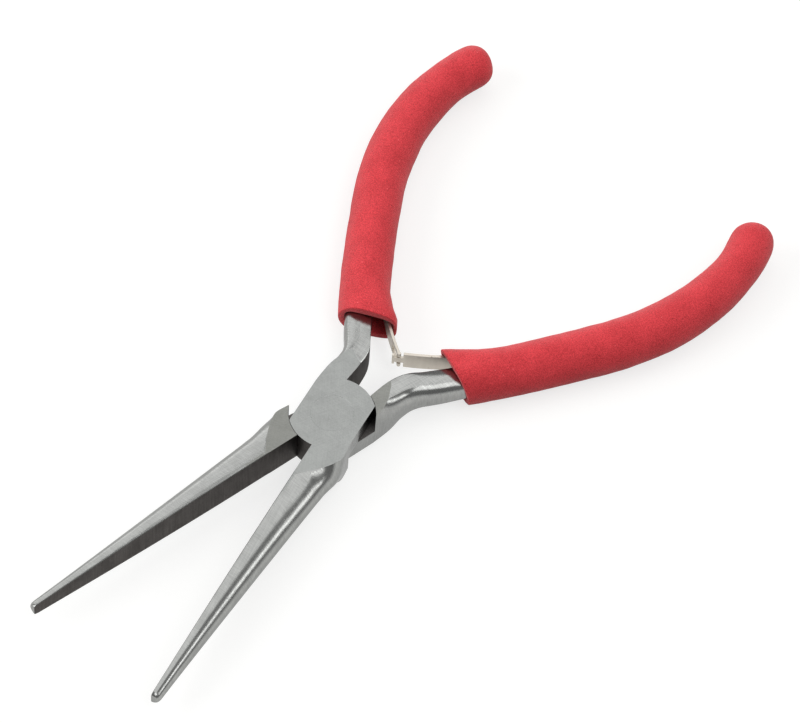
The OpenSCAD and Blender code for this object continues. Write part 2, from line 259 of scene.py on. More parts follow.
GROUPS = {
    "pliers_joint": JointSizes,
    "pliers_jaws": JawSizes,
    "pliers_handles": HandleSizes,
    "pliers_grips": GripSizes,
    "pliers_springs": SpringSizes,
    "pliers_finishes": Finishes,
    "pliers_stage": StageSettings,
}


class Sizes:
    """One group's lengths in millimetres, and its angles in radians."""

    def __init__(self, group):
        for name, prop in group.bl_rna.properties.items():
            if prop.type == "FLOAT" and not prop.is_array:
                scale = 1000 if prop.unit == "LENGTH" else 1
                setattr(self, name, getattr(group, name) * scale)


# ---- numbers ----
def ramp(x, *points):
    """Straight lines through the points, level before the first and after the last."""
    if x <= points[0][0]:
        return points[0][1]
    for (x0, y0), (x1, y1) in zip(points, points[1:]):
        if x <= x1:
            return y0 + (y1 - y0) * (x - x0) / (x1 - x0)
    return points[-1][1]


def clamp01(value):
    return min(1.0, max(0.0, value))


def signed_pow(value, power):
    return math.copysign(abs(value) ** power, value)


def eased(curve, s, reach=2):
    """The mean of a curve about s, which rounds the kinks of its ramps."""
    return sum(curve(s + reach * k / 4) for k in range(-4, 5)) / 9


def spaced(first, last, step):
    """Numbers from first to last, about a step apart, both ends in."""
    count = max(1, round((last - first) / step))
    return [first + (last - first) * i / count for i in range(count + 1)]


def full_turn(count):
    return [math.tau * i / count for i in range(count)]


# ---- placing ----
def place(side):
    """The matrix that puts a half drawn closed, in millimetres, where it rests, in metres."""
    lift = Matrix.Translation((0, 0, HALF_T / 1000))
    scale = Matrix.Scale(0.001, 4)
    if side == "upper":
        return lift @ Matrix.Rotation(OPEN_ANGLE / 2, 4, "Z") @ scale
    turned_over = Matrix.Rotation(-OPEN_ANGLE / 2, 4, "Z") @ Matrix.Rotation(math.pi, 4, "Y")
    return lift @ turned_over @ scale


def put(piece, side):
    """Moves a piece drawn closed to where it rests. The place where each point was drawn
    stays with it in millimetres, so that its finish keeps to the grain of its own half."""
    drawn = piece.data.attributes.new("drawn", "FLOAT_VECTOR", "POINT")
    for vertex, value in zip(piece.data.vertices, drawn.data):
        value.vector = vertex.co
    piece.data.transform(place(side))


def finish_piece(piece, body, replaced):
    """Places a piece drawn closed, lets it ride on its half, and hides the part it stands for."""
    put(piece, body)
    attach(piece, body)
    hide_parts(replaced)


# ---- meshes ----
def loft(name, rings, last_cap=True):
    """A skin through rings of equal count, capped at the first and, if asked, at the last."""
    n, m = len(rings[0]), len(rings)
    faces = []
    for low in range(0, (m - 1) * n, n):
        for i in range(n):
            j = (i + 1) % n
            faces.append((low + i, low + n + i, low + n + j, low + j))
    faces.append(tuple(range(n)))
    if last_cap:
        faces.append(tuple(reversed(range((m - 1) * n, m * n))))
    mesh = bpy.data.meshes.new(name)
    mesh.from_pydata([tuple(p) for ring in rings for p in ring], [], faces)
    mesh.update()
    piece = bpy.data.objects.new(name, mesh)
    bpy.context.scene.collection.objects.link(piece)
    return piece


def prism(name, outline, low, high):
    """An outline in X and Y, drawn up from low to high."""
    return loft(name, [[(x, y, z) for x, y in outline] for z in (high, low)])


def turned(name, profile, count=128, last_cap=True):
    """A profile of radius and height, turned about Z."""
    rings = [[(r * math.cos(a), r * math.sin(a), z) for a in full_turn(count)] for r, z in profile]
    return loft(name, rings, last_cap)


def add_modifier(piece, kind, **settings):
    """Adds a modifier and sets it."""
    modifier = piece.modifiers.new(kind.lower(), kind)
    for name, value in settings.items():
        setattr(modifier, name, value)


def apply_modifiers(piece):
    """Bakes a piece's modifiers into its mesh."""
    depsgraph = bpy.context.evaluated_depsgraph_get()
    mesh = bpy.data.meshes.new_from_object(piece.evaluated_get(depsgraph))
    piece.modifiers.clear()
    piece.data = mesh


def combine(piece, tool, operation):
    """Joins a tool to a piece or cuts it away, and drops the tool."""
    add_modifier(piece, "BOOLEAN", operation=operation, solver="EXACT", object=tool)
    apply_modifiers(piece)
    bpy.data.objects.remove(tool)
    if not piece.data.polygons:
        raise RuntimeError(f"{piece.name} has no faces left after {operation.lower()}")


def break_edges(piece, width, angle):
    """Welds the slivers that the cuts have left and makes flat faces one again, then rounds
    every edge sharper than the angle, as a stone does."""
    add_modifier(piece, "WELD", merge_threshold=0.004)
    add_modifier(piece, "DECIMATE", decimate_type="DISSOLVE", angle_limit=math.radians(0.2))
    sharp = {"limit_method": "ANGLE", "angle_limit": math.radians(angle)}
    add_modifier(piece, "BEVEL", width=width, segments=2, miter_outer="MITER_ARC", **sharp)
    apply_modifiers(piece)


def shade(piece, angle=30):
    """Smooth shading that stays flat across large flat faces."""
    for polygon in piece.data.polygons:
        polygon.use_smooth = True
    piece.data.set_sharp_from_angle(angle=math.radians(angle))
    add_modifier(piece, "WEIGHTED_NORMAL", weight=100, keep_sharp=True)
    apply_modifiers(piece)


# ---- the handle ----
class Handle:
    """A handle's middle line, bent as a bar is bent on a jig, the steel along it and the
    places of its spring. A station is a distance along the line from the neck's start."""

    STEP = 0.5
    # Where the bar starts, inside the hub.
    START = -1.5
    # How far along its foot a leaf is riveted.
    PIN_SHARE = 0.7

    def __init__(self, scene):
        self.steel = steel = Sizes(scene.pliers_handles)
        self.grip = Sizes(scene.pliers_grips)
        self.spring = spring = Sizes(scene.pliers_springs)
        self.bends = [
            (steel.neck_len, 0.0),
            (steel.spread_len, steel.spread_turn),
            (steel.reach_len, -steel.reach_turn),
            (steel.palm_len, -steel.palm_turn),
            (steel.heel_len, -steel.heel_turn),
            (steel.end_len, -steel.end_turn),
        ]
        self.length = sum(bend[0] for bend in self.bends)
        self.tang_len = self.length - self.grip.end_foam
        point = Vector((steel.neck_x, steel.neck_y))
        self.points = [point]
        while len(self.points) <= self.length / self.STEP:
            heading = self.heading((len(self.points) - 0.5) * self.STEP)
            point = point + self.STEP * Vector((-math.sin(heading), math.cos(heading)))
            self.points.append(point)
        # The leaf: where its foot ends and is riveted, how far it lies from the middle line,
        # where it starts to bend, and where it hooks into the other one.
        self.foot_end = spring.root_at + spring.foot_len
        self.pin_at = spring.root_at + spring.foot_len * self.PIN_SHARE
        self.leaf_off = -(steel.tang_w / 2 + spring.seat + spring.leaf_t / 2)
        self.root = self.beside(spring.root_at, self.leaf_off - spring.lift)
        self.meet = spring.meet_y * Vector((math.sin(OPEN_ANGLE / 2), math.cos(OPEN_ANGLE / 2)))

    def heading(self, s):
        start, heading = 0.0, self.steel.neck_heading
        for bend_length, bend_turn in self.bends:
            heading += bend_turn * clamp01((s - start) / bend_length)
            start += bend_length
        return heading

    def middle(self, s):
        i = min(len(self.points) - 2, max(0, math.floor(s / self.STEP)))
        f = s / self.STEP - i
        return self.points[i] * (1 - f) + self.points[i + 1] * f

    def beside(self, s, off):
        """A point beside the middle line: positive is away from the other handle."""
        heading = self.heading(s)
        return self.middle(s) + off * Vector((-math.cos(heading), -math.sin(heading)))

    def ring_point(self, s, angle, inner, outer, high, square_in, square_out):
        """A point of a ring across the handle; the squares are 2 for an ellipse."""
        c, v = math.cos(angle), math.sin(angle)
        square = square_out if c > 0 else square_in
        across = signed_pow(c, 2 / square)
        off = across * (outer if across > 0 else inner)
        x, y = self.beside(s, off)
        return Vector((x, y, high * signed_pow(v, 2 / square)))

    def milled_point(self, s, angle, inner, high, square, wider):
        """A point on the inner half of a ring whose inner side is milled flat: a crown, wider
        than the ring, runs over the top and the flat side cuts it off."""
        turned_by = abs(math.pi / 2 - abs(math.pi - angle)) / (math.pi / 2)
        over, corner = min(1.0, turned_by / 0.6), max(0.0, turned_by / 0.4 - 1.5)
        level = (1 - (over / wider) ** square) ** (1 / square) * high * (1 - corner)
        x, y = self.beside(s, -inner * over)
        return Vector((x, y, level if angle < math.pi else -level))

    def half_w(self, s):
        """Half the width of the steel, before its swellings."""
        steel = self.steel
        return ramp(
            s,
            (self.START, steel.root_w / 2 - 0.13),
            (0, steel.root_w / 2),
            (steel.neck_len - 1, steel.neck_w / 2),
            (self.spring.root_at - 12, steel.tang_w / 2),
            (self.foot_end + 1, steel.tang_w / 2),
            (self.tang_len, steel.tang_end_w / 2),
        )

    def tang_swelling(self, s):
        """How much further the outer side stands out at the mouth of the grip."""
        neck, mouth, root = self.steel.neck_len, self.grip.mouth_at, self.spring.root_at
        return self.steel.tang_swell * ramp(s, (neck, 0), (mouth - 5, 1), (mouth + 2, 1), (root, 0))

    def neck_swelling(self, s):
        """How much further the inner side stands out at the end of the neck."""
        neck = self.steel.neck_len
        return self.steel.neck_swell * ramp(s, (0, 0), (neck - 2, 1), (neck + 2, 1), (neck + 5, 0))

    def half_h(self, s):
        """How high the steel stands on its upper side, whose ground face ends with the neck."""
        return ramp(
            s,
            (0, HALF_T * 2),
            (self.steel.neck_len - 3, HALF_T * 1.25),
            (self.steel.neck_len + 0.5, HALF_T),
            (self.grip.mouth_at + 3, self.steel.tang_h / 2),
            (self.tang_len, self.steel.tang_h / 2 - 0.4),
        )

    def slanted_h(self, s, outwards):
        """How high it stands on its lower side, whose ground face ends on a long slant: a
        sliver of it runs on along the inner edge. Outwards is 0 there and 1 at the outer one."""
        root = ((0, 1.8), (0.5, 1.63))
        inner = ramp(s, *root, (3.2, 1.35), (5.2, 1.2), (9, 0.94), (13, 0.86), (17, 0.82))
        outer = ramp(s, *root, (3.2, 1.03), (5.2, 0.9), (9, 0.82), (12.5, 0.82), (17, 0.95))
        mouth = (self.grip.mouth_at + 3, self.steel.tang_h / 2)
        level = ramp(s, (self.steel.neck_len + 5, HALF_T), mouth)
        return level * (outer + (inner - outer) * (1 - outwards) ** 2)


# ---- the steel ----
def handle_blank(handle):
    """The bar of a handle, from inside the hub to the end of its tang."""
    mouth = handle.grip.mouth_at
    rings = []
    for s in spaced(handle.START, mouth + 3, 0.5) + spaced(mouth + 5, handle.tang_len, 2):
        half_w = handle.half_w(s)
        outer = half_w + eased(handle.tang_swelling, s)
        inner = half_w + handle.neck_swelling(s)
        # The inner side is milled flat up to the mouth, and left as forged inside the grip.
        milled = ramp(s, (mouth - 1, 1), (mouth + 3, 0))
        # The upper face leans a little towards the other handle.
        lean = ramp(s, (4, 0), (8, 0.1), (mouth, 0.1), (mouth + 3, 0))
        upper_high = eased(handle.half_h, s)
        ring = []
        for a in full_turn(72):
            high = upper_high * (1 + lean * min(0, math.cos(a)))
            square_out, square_in, wider = ramp(s, (1, 6), (6, 3)), ramp(s, (6, 3), (11, 5)), 2.2
            if a > math.pi:
                # The lower side, which is seen on the half that is turned over.
                square_out = ramp(s, (mouth - 1, 2), (mouth + 3, 3))
                square_in, wider = ramp(s, (7, 5), (12, 2)), 2
                outwards = clamp01((math.cos(a) + 1) / 2)
                high = eased(lambda x: handle.slanted_h(x, outwards), s, 1)
            point = handle.ring_point(s, a, inner, outer, high, 3, square_out)
            if milled > 0 and math.cos(a) < 0:
                flat = handle.milled_point(s, a, inner, high, square_in, wider)
                point = point.lerp(flat, milled)
            ring.append(point)
        rings.append(ring)
    return loft("handle_blank", rings)


def jaw_taper(d, jaw):
    """1 behind the shoulder, down to 0 at the tip."""
    return clamp01((jaw.jaw_len - d) / (jaw.jaw_len - jaw.shoulder_at - 5))


def jaw_depth(d, jaw):
    """How far the jaw reaches behind its gripping face, d from the pivot."""
    shoulder = ((-3.5, 0.4), (0, 1), (1.5, 0.75), (3, 0.25), (5, 0))
    points = [(4, 0.1)] + [(jaw.shoulder_at + x, y) for x, y in shoulder]
    bump = eased(lambda x: ramp(x, *points), d, 1.5)
    return jaw.tip_w + (jaw.root_w - jaw.tip_w) * jaw_taper(d, jaw) ** 1.1 + jaw.shoulder * bump


def jaw_half_h(d, jaw):
    """Half the height of the jaw, which flares into the hub's ground faces."""
    points = ((-1.6, 1.4), (-0.9, 0.82), (1.1, 0.27), (3.2, 0.07), (3.9, 0.009), (4.3, 0))
    root = eased(lambda x: ramp(x, *points), d - jaw.shoulder_at, 0.9)
    tip = jaw.tip_h / 2
    return tip + (HALF_T - tip) * math.sin(math.pi / 2 * jaw_taper(d, jaw)) + HALF_T * root


def jaw_ring(d, jaw):
    """Half an ellipse behind a flat gripping face, whose two edges are chamfered."""
    near_tip = clamp01((d - jaw.jaw_len + jaw.tip_round) / jaw.tip_round)
    scale = 0.7 + 0.3 * math.sqrt(1 - near_tip ** 2)
    deep = jaw_depth(d, jaw) * scale
    high = jaw_half_h(d, jaw) * scale
    chamfer = min(jaw.chamfer, 0.2 * high, 0.3 * deep)
    last = math.acos(chamfer / deep)
    # The corners start nearly square, flush with the hub's flat, and soften to an ellipse.
    square = ramp(d, (4, 5), (jaw.shoulder_at - 1, 2))
    ring = [(jaw.relief, -d, -high + chamfer)]
    for i in range(49):
        a = last * (i / 24 - 1)
        across = deep * math.cos(a) ** (2 / square)
        ring.append((jaw.relief + across, -d, high * signed_pow(math.sin(a), 2 / square)))
    ring.append((jaw.relief, -d, high - chamfer))
    return ring


def jaw_blank(jaw):
    """A jaw, from inside the hub to its rounded tip."""
    to_tip = (1, 0.85, 0.7, 0.55, 0.4, 0.27, 0.16, 0.08, 0.02, 0)
    stations = spaced(4, jaw.shoulder_at + 6, 0.5)
    stations += spaced(jaw.shoulder_at + 7.5, jaw.jaw_len - 1.6 * jaw.tip_round, 1.5)
    stations += [jaw.jaw_len - r * jaw.tip_round for r in to_tip]
    return loft("jaw_blank", [jaw_ring(d, jaw) for d in stations])


def hub_outline(joint):
    """A circle cut by two flats."""
    corner = math.acos(joint.hub_w / 2 / joint.hub_r)
    arc = [corner + (math.pi - 2 * corner) * i / 60 for i in range(61)]
    arc += [a + math.pi for a in arc]
    return [(joint.hub_r * math.cos(a), joint.hub_r * math.sin(a)) for a in arc]


def foot_pin_cutter(handle):
    """The hole of the foot pin, which runs from inside the tang towards the other handle."""
    spring = handle.spring
    radius = spring.pin_d / 2 + spring.pin_gap
    top = handle.steel.tang_w / 2 + spring.leaf_t + 1
    cutter = turned("pin_cutter", [(radius, top), (radius, -0.6 - spring.pin_gap)], 48)
    x, y = handle.beside(handle.pin_at, 0)
    cutter.data.transform(
        Matrix.Translation((x, y, 0))
        @ Matrix.Rotation(handle.heading(handle.pin_at), 4, "Z")
        @ Matrix.Rotation(math.pi / 2, 4, "Y")
    )
    return cutter


def half_mesh(name, joint, jaw, handle):
    """A forged half: jaw, hub and handle in one, ground flat and cut down by half to lap."""
    half = jaw_blank(jaw)
    half.name = name
    combine(half, handle_blank(handle), "UNION")
    combine(half, prism("hub", hub_outline(joint), -HALF_T - 2, HALF_T + 2), "UNION")
    far = jaw.jaw_len + handle.length
    slab = [(-far, -far), (far, -far), (far, far), (-far, far)]
    combine(half, prism("slab", slab, -HALF_T, HALF_T), "INTERSECT")
    recess_r = joint.hub_r + joint.shoulder_gap
    recess = turned("recess", [(recess_r, joint.lap_gap / 2), (recess_r, -HALF_T - 1)], 160)
    combine(half, recess, "DIFFERENCE")
    break_edges(half, joint.edge, angle=35)
    # The bore comes after the edges are broken: its head is ground flush and stays sharp.
    shank, head = joint.rivet_d / 2 + joint.rivet_gap, joint.rivet_head_d / 2 + joint.ring_gap
    seat = HALF_T - joint.rivet_head_h
    bore = turned("bore", [(head, HALF_T + 1), (head, HALF_T), (shank, seat), (shank, -HALF_T)])
    combine(half, bore, "DIFFERENCE")
    combine(half, foot_pin_cutter(handle), "DIFFERENCE")
    shade(half)
    return half


# The slots of a half's finishes.
SATIN, GROUND, MILLED_PAINTED_SHADE, SHOULDER = range(4)


def steel_finish(n, c, joint):
    """The finish of a half's face with normal n and centre c."""
    r = math.hypot(c.x, c.y)
    # The wall of the recess faces the rivet, and the rim of the hub faces away from it.
    faces_rivet = n.x * c.x + n.y * c.y < 0
    rim_r = joint.hub_r + joint.shoulder_gap + 0.05 if faces_rivet else joint.hub_r
    if abs(n.z) > 0.999 and abs(abs(c.z) - HALF_T) < 0.02:
        return GROUND if n.z > 0 else SHOULDER
    lapped_face = abs(n.z) > 0.99 and abs(c.z) < 0.1
    rim = r < rim_r and abs(n.z) < 0.5 and abs(c.x) < joint.hub_w / 2 - 0.02
    gripping_face = c.y < -4 and n.x < -0.8
    inner_side_of_handle = c.y > 4 and n.x > 0.75 and r < 30
    # These faces take the dark milled steel, which is painted shade for the shade and dark floor
    # reflection that they show.
    if lapped_face or rim or gripping_face or inner_side_of_handle:
        return MILLED_PAINTED_SHADE
    return SATIN


# ---- materials ----
# A colour mix shares its sockets' names with other mixes, so they are numbered here.
FIRST, SECOND, MIXED = 6, 7, 2


def add_node(tree, kind, inputs=None, output=0, **settings):
    """Adds a node, sets it, links its inputs to sockets or sets them, and gives an output."""
    node = tree.nodes.new("ShaderNode" + kind)
    for name, value in settings.items():
        setattr(node, name, value)
    for name, value in (inputs or {}).items():
        if isinstance(value, bpy.types.NodeSocket):
            tree.links.new(value, node.inputs[name])
        else:
            node.inputs[name].default_value = value
    return node.outputs[output] if node.outputs else None


def new_material(name, drawn=True):
    """An empty material and the place of each point in millimetres: where it was drawn, or
    where it lies on a piece that isn't placed by put."""
    material = bpy.data.materials.new(name)
    material.use_nodes = True
    tree = material.node_tree
    tree.nodes.clear()
    if drawn:
        place_mm = add_node(tree, "Attribute", output="Vector", attribute_name="drawn")
    else:
        place_m = add_node(tree, "TexCoord", output="Object")
        place_mm = add_node(tree, "Mapping", {"Vector": place_m, "Scale": (1000, 1000, 1000)})
    return material, tree, place_mm


def toned(colour, *factors):
    """A colour with its alpha, each of its channels scaled."""
    return (*(c * factor for c, factor in zip(colour, factors or (1, 1, 1))), 1.0)


def scratches(tree, place_mm, angle, across, along):
    """Fine lines at an angle, from 0 to 1; across and along are their spacing in millimetres."""
    angles = (0, 0, math.radians(angle))
    inputs = {"Vector": place_mm, "Rotation": angles, "Scale": (across, along, along)}
    on_lines = add_node(tree, "Mapping", inputs, vector_type="TEXTURE")
    inputs = {"Vector": on_lines, "Scale": 1, "Detail": 2, "Roughness": 0.6}
    return add_node(tree, "TexNoise", inputs)


def cloudy(tree, place_mm, size, detail, most):
    """A soft cloud from 0 to most; its size is in millimetres."""
    inputs = {"Vector": place_mm, "Scale": 1 / size, "Detail": detail}
    cloud = add_node(tree, "TexNoise", inputs)
    inputs = {"Value": cloud, "From Min": 0.35, "From Max": 0.65, "To Max": most}
    return add_node(tree, "MapRange", inputs)


def spotted(tree, place_mm, plain, apart, full, gone, most, tone):
    """Spots on a plain colour, so many millimetres apart: a spot is strongest out to the
    first share of that spacing and has gone at the second."""
    inputs = {"Vector": place_mm, "Scale": 1 / apart, "Randomness": 1.0}
    away = add_node(tree, "TexVoronoi", inputs, "Distance")
    inputs = {"Value": away, "From Min": full, "From Max": gone, "To Min": most, "To Max": 0}
    inside = add_node(tree, "MapRange", inputs)
    inputs = {"Factor": inside, FIRST: plain, SECOND: tone}
    return add_node(tree, "Mix", inputs, MIXED, data_type="RGBA")


def metal(name, base, marks, rough, darken=0.2, edge=0.75, drawn=True, freckles=None):
    """A metal whose tool marks, and a faint cloud between them, darken, dull and dent it.
    Each mark is an angle, a spacing across it and one along it, and a weight."""
    material, tree, place_mm = new_material(name, drawn)
    lines = 0.0
    for angle, across, along, weight in marks:
        inputs = {0: scratches(tree, place_mm, angle, across, along), 1: weight, 2: lines}
        lines = add_node(tree, "Math", inputs, operation="MULTIPLY_ADD")
    half = sum(mark[3] for mark in marks) / 2
    spread = 0.2 * math.sqrt(sum(mark[3] ** 2 for mark in marks))
    inputs = {"Value": lines, "From Min": half - spread, "From Max": half + spread}
    lit = add_node(tree, "MapRange", inputs)
    # The cloud comes from uneven pressure on the stone or belt.
    inputs = {0: lit, 1: 0.6, 2: cloudy(tree, place_mm, 3.333, 4, 0.4)}
    pale = add_node(tree, "Math", inputs, operation="MULTIPLY_ADD")
    inputs = {"Factor": pale, FIRST: toned(base, *[1 - darken] * 3), SECOND: toned(base)}
    finish = add_node(tree, "Mix", inputs, MIXED, data_type="RGBA")
    if freckles:
        finish = spotted(tree, place_mm, finish, *freckles)
    inputs = {"Value": lit, "To Min": rough + 0.04, "To Max": rough - 0.04}
    dull = add_node(tree, "MapRange", inputs)
    inputs = {"Strength": 0.16, "Distance": 0.00002, "Height": lines}
    dented = add_node(tree, "Bump", inputs)
    inputs = {
        "Base Color": finish,
        "Metallic": 1.0,
        "Roughness": dull,
        "Specular Tint": (edge, edge, edge, 1.0),
        "Normal": dented,
    }
    shader = add_node(tree, "BsdfPrincipled", inputs)
    add_node(tree, "OutputMaterial", {"Surface": shader})
    return material


# Real grit lines are 0.02 to 0.03 mm wide; they are drawn 0.15 to 0.2 mm wide, so that they
# show. The last mark has no direction.
GROUND_MARKS = ((24, 0.15, 2.6, 1), (-38, 0.2, 3.2, 1), (71, 0.17, 2.2, 1), (0, 0.25, 0.25, 1.2))


def ground_steel(finishes):
    """Tool steel, surface-ground and stoned: matt, with fine crossing scratches that catch
    the light a little and a cloudy sheen between them."""
    return metal("tool_steel_surface_ground", finishes.ground, GROUND_MARKS, finishes.ground_rough)


def shoulder_steel(finishes):
    """Tool steel, ground, on the ground faces that are turned down as drawn: the ground steel's
    colour made duller and a little warmer than the face of the hub."""
    base = toned(finishes.ground, 0.74, 0.73, 0.7)
    return metal("tool_steel_ground_shoulder", base, GROUND_MARKS, finishes.ground_rough)


def satin_steel(finishes):
    """Tool steel, finished on a fine belt: satin, with short marks across the jaw that break
    up the long reflections."""
    marks = ((82, 0.18, 1.8, 1), (4, 0.22, 9, 0.6))
    return metal("tool_steel_belt_finished", finishes.satin, marks, finishes.satin_rough, 0.26)


def milled_steel_painted_shade(finishes):
    """Tool steel, milled, on the inner, gripping and lapped faces: smooth, with faint cutter
    marks. Its near black is painted shade and painted dark reflection."""
    marks, rough = ((86, 0.3, 6, 1), (40, 0.25, 0.25, 1)), finishes.milled_rough
    return metal("tool_steel_milled_painted_shade", finishes.milled, marks, rough, 0.45, 0.45)


def rivet_steel(finishes):
    """Mild steel, headed cold: a plain grey satin with faint marks of the heading tool."""
    marks, rough = ((35, 0.15, 2.4, 1), (-52, 0.18, 3, 1)), finishes.ground_rough
    return metal("mild_steel_cold_headed", finishes.ground, marks, rough, 0.16, drawn=False)


def nickel_strip(finishes):
    """Spring steel strip, cold-rolled and nickel-plated: a warm satin with a few tiny
    freckles where the plating has started to spot."""
    rust = toned(finishes.nickel, 0.35, 0.28, 0.25)
    freckles = (1.111, 0.07, 0.13, 0.8, rust)
    marks, rough = ((60, 0.2, 5, 1),), finishes.nickel_rough
    name = "spring_steel_nickel_plated"
    return metal(name, finishes.nickel, marks, rough, 0.07, freckles=freckles)


def foam_rubber(finishes):
    """Nitrile foam rubber, extruded with a closed skin: dull and soft, grained all over with
    pores darkened by painted shade, with a few open pits of painted shade and pale flecks."""
    material, tree, place_mm = new_material("nitrile_foam_extruded")
    # Pores are 0.05 to 0.1 mm wide; they are drawn 0.2 mm wide, so that they show. Their dark red
    # is painted shade.
    inputs = {"Vector": place_mm, "Scale": 1 / 0.2, "Detail": 3, "Roughness": 0.75}
    pores = add_node(tree, "TexNoise", inputs)
    inputs = {"Value": pores, "From Min": 0.4, "From Max": 0.6, "To Max": 0.8}
    porous = add_node(tree, "MapRange", inputs)
    # The skin is a little uneven over some 4 mm.
    inputs = {0: porous, 1: cloudy(tree, place_mm, 4, 2, 0.2)}
    grain = add_node(tree, "Math", inputs, operation="ADD")
    inputs = {"Factor": grain, FIRST: toned(finishes.pore_shade), SECOND: toned(finishes.foam)}
    skin = add_node(tree, "Mix", inputs, MIXED, data_type="RGBA")
    # The open pits are spots of painted shade, near black.
    pit_shade = toned(finishes.pore_shade, 0.35, 0.35, 0.35)
    skin = spotted(tree, place_mm, skin, 1.25, 0.06, 0.1, 0.75, pit_shade)
    fleck = (*(min(1.0, c * 1.1 + 0.12) for c in finishes.foam), 1.0)
    skin = spotted(tree, place_mm, skin, 2.128, 0.035, 0.055, 0.8, fleck)
    pitted = add_node(tree, "Bump", {"Strength": 0.8, "Distance": 0.00014, "Height": pores})
    inputs = {
        "Base Color": skin,
        "Roughness": finishes.foam_rough,
        "IOR": 1.5,
        "Specular IOR Level": 0.3,
        "Sheen Weight": 0.45,
        "Sheen Roughness": 0.45,
        "Sheen Tint": (1, 0.6, 0.6, 1),
        "Normal": pitted,
    }
    shader = add_node(tree, "BsdfPrincipled", inputs)
    add_node(tree, "OutputMaterial", {"Surface": shader})
    return material


def floor_paper(finishes, lift):
    """Seamless studio paper: matt and pale, lifted to white for what looks at it, shadow kept."""
    material, tree, place_mm = new_material("studio_paper_matt", drawn=False)
    seen = 0.0
    for ray in ("Is Camera Ray", "Is Glossy Ray", "Is Transmission Ray"):
        is_ray = add_node(tree, "LightPath", output=ray)
        seen = add_node(tree, "Math", {0: seen, 1: is_ray}, operation="ADD")
    lifted = add_node(tree, "Math", {0: seen, 1: lift}, operation="MULTIPLY")
    # Its fibres lie in clumps some 1.1 mm wide.
    inputs = {"Vector": place_mm, "Scale": 1 / 1.111, "Detail": 2}
    fibre = add_node(tree, "TexNoise", inputs)
    dark = toned(finishes.floor, 0.985, 0.985, 0.985)
    inputs = {"Factor": fibre, FIRST: dark, SECOND: toned(finishes.floor)}
    fibrous = add_node(tree, "Mix", inputs, MIXED, data_type="RGBA")
    paper = add_node(tree, "BsdfDiffuse", {"Color": fibrous, "Roughness": 0.9})
    glow = add_node(tree, "Emission", {"Color": (1, 1, 1, 1), "Strength": lifted})
    both = add_node(tree, "AddShader", {0: paper, 1: glow})
    add_node(tree, "OutputMaterial", {"Surface": both})
    return material


MADE = {}


def material_of(context, maker):
    """The finished material, made on first use."""
    name = maker.__name__
    if name not in MADE:
        MADE[name] = maker(context.scene.pliers_finishes)
    return MADE[name]


# ---- operators ----
class PLIERS_OT_halves(bpy.types.Operator):
    """Build the two forged halves: jaw, hub and handle in one"""

    bl_idname = "pliers.halves"
    bl_label = "Forged Halves"

    def execute(self, context):
        joint, jaw = Sizes(context.scene.pliers_joint), Sizes(context.scene.pliers_jaws)
        handle = Handle(context.scene)
        for side in ("upper", "lower"):
            half = half_mesh(f"{side}_half_forged", joint, jaw, handle)
            for maker in (satin_steel, ground_steel, milled_steel_painted_shade, shoulder_steel):
                half.data.materials.append(material_of(context, maker))
            for polygon in half.data.polygons:
                polygon.material_index = steel_finish(polygon.normal, polygon.center, joint)
            finish_piece(half, side, f"{side}_half")
        return {"FINISHED"}


class PLIERS_OT_rivets(bpy.types.Operator):
    """Finish the pivot rivet and the small rivets that hold the springs"""

    bl_idname = "pliers.rivets"
    bl_label = "Rivets"

    def execute(self, context):
        joint = Sizes(context.scene.pliers_joint)
        shank, head = joint.rivet_d / 2, joint.rivet_head_d / 2
        seat, edge = HALF_T - joint.rivet_head_h, 0.015
        profile = [(head - edge, HALF_T), (head, HALF_T - edge), (shank, seat)]
        profile += [(r, -z) for r, z in reversed(profile)]
        rivet = turned("pivot_rivet_ground", profile, 160)
        shade(rivet, angle=20)
        rivet.data.materials.append(material_of(context, ground_steel))
        finish_piece(rivet, "upper", "pivot_rivet")
        for name in ("upper_foot_rivet", "lower_foot_rivet"):
            node = frame["nodes"].get(name)
            if node is None:
                raise RuntimeError(f"the frame has no node {name}")
            node.data.materials.clear()
            node.data.materials.append(material_of(context, rivet_steel))
        return {"FINISHED"}


